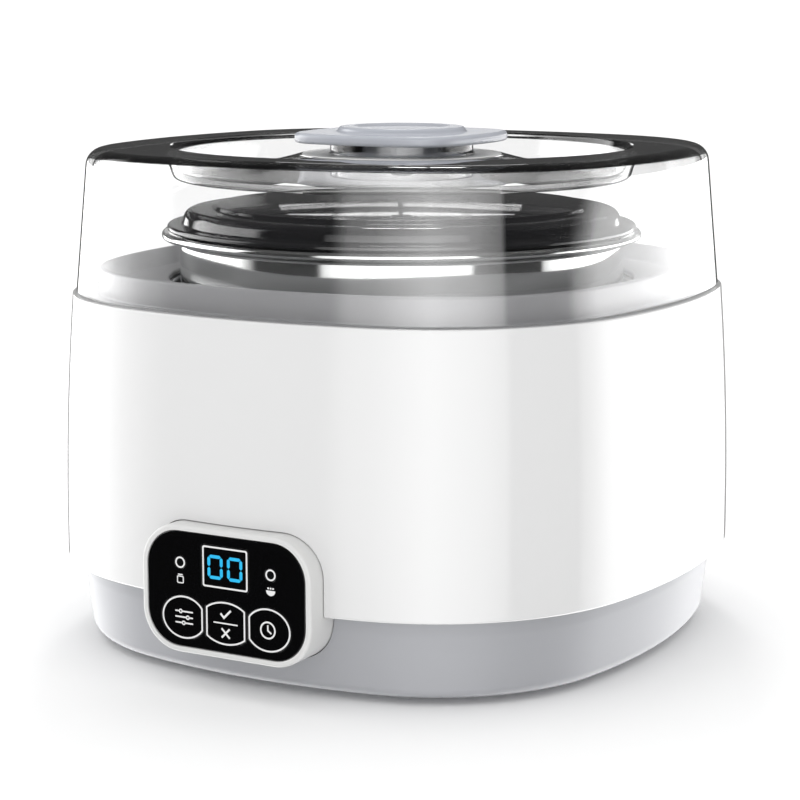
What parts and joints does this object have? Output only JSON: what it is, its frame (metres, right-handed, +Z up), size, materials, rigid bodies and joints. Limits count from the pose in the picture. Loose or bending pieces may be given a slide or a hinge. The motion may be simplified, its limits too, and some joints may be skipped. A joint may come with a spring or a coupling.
{
  "type": "yogurt maker",
  "caption": "Countertop yogurt maker: heating base with a front control panel, lift-out steel bowl with its own lid, and a clear lift-off cover with a knob.",
  "frame": {"origin": "centre of the footprint on the surface that the feet stand on", "axes": "+Z up, the control panel faces -Y, +X to the right seen from the front"},
  "size_m": [0.22, 0.225, 0.1768],
  "materials": {
    "shell_white": "glossy moulded",
    "base_grey": "satin moulded",
    "deck_white": "satin moulded",
    "cover_clear": "clear moulded",
    "lid_smoked": "smoked, glossy",
    "knob_grey": "satin moulded",
    "bowl_steel": "drawn and polished",
    "well_aluminium": "spun",
    "panel_black": "gloss film",
    "foot_rubber": "matt",
    "gasket_silicone": "matt",
    "pin_brass": "turned",
    "screw_zinc": "zinc plated",
    "board_green": "solder mask",
    "black_plastic": "moulded",
    "insulation_felt": "felt",
    "lamp_lens": "diffusing",
    "display_black": "gloss",
    "coil_copper": "taped coil"
  },
  "bodies": {
    "base": {"outer_shell": "shell_white", "panel_housing": "shell_white", "base_pan": "base_grey", "top_deck": "deck_white", "heater_element": "bowl_steel", "heating_well": "well_aluminium", "heater_plate": "well_aluminium", "temperature_sensor": "well_aluminium", "panel_lens": "panel_black", "foot_1": "foot_rubber", "foot_2": "foot_rubber", "foot_3": "foot_rubber", "foot_4": "foot_rubber", "inlet_pin_left": "pin_brass", "inlet_pin_right": "pin_brass", "heater_clamp": "screw_zinc", "base_screw_1": "screw_zinc", "base_screw_2": "screw_zinc", "base_screw_3": "screw_zinc", "base_screw_4": "screw_zinc", "well_screw_1": "screw_zinc", "well_screw_2": "screw_zinc", "well_screw_3": "screw_zinc", "well_screw_4": "screw_zinc", "clamp_screw_1": "screw_zinc", "clamp_screw_2": "screw_zinc", "power_board": "board_green", "control_board": "board_green", "inlet_housing": "black_plastic", "relay": "black_plastic", "capacitor": "black_plastic", "control_chip": "black_plastic", "board_post_1": "black_plastic", "board_post_2": "black_plastic", "tact_switch_1": "black_plastic", "tact_switch_2": "black_plastic", "tact_switch_3": "black_plastic", "insulation_ring": "insulation_felt", "thermal_fuse": "insulation_felt", "lamp_left": "lamp_lens", "lamp_right": "lamp_lens", "display_module": "display_black", "transformer": "coil_copper"},
    "bowl": {"inner_bowl": "bowl_steel"},
    "lid": {"inner_lid": "lid_smoked", "lid_gasket": "gasket_silicone"},
    "cover": {"outer_cover": "cover_clear", "cover_knob": "knob_grey", "knob_collar": "knob_grey", "knob_screw": "screw_zinc", "knob_washer": "screw_zinc"},
    "key_function": {"key_function": "panel_black"},
    "key_confirm": {"key_confirm": "panel_black"},
    "key_time": {"key_time": "panel_black"}
  },
  "joints": [
    {"name": "bowl_lift", "type": "slide", "parent": "base", "child": "bowl", "axis": [0, 0, 1], "range_m": [0, 0.1]},
    {"name": "lid_lift", "type": "slide", "parent": "bowl", "child": "lid", "axis": [0, 0, 1], "range_m": [0, 0.06]},
    {"name": "cover_lift", "type": "slide", "parent": "lid", "child": "cover", "axis": [0, 0, 1], "range_m": [0, 0.08]},
    {"name": "key_function_press", "type": "slide", "parent": "base", "child": "key_function", "axis": [0, 1, 0], "range_m": [0, 0.0006], "stiffness_N_per_m": 800},
    {"name": "key_confirm_press", "type": "slide", "parent": "base", "child": "key_confirm", "axis": [0, 1, 0], "range_m": [0, 0.0006], "stiffness_N_per_m": 800},
    {"name": "key_time_press", "type": "slide", "parent": "base", "child": "key_time", "axis": [0, 1, 0], "range_m": [0, 0.0006], "stiffness_N_per_m": 800}
  ]
}
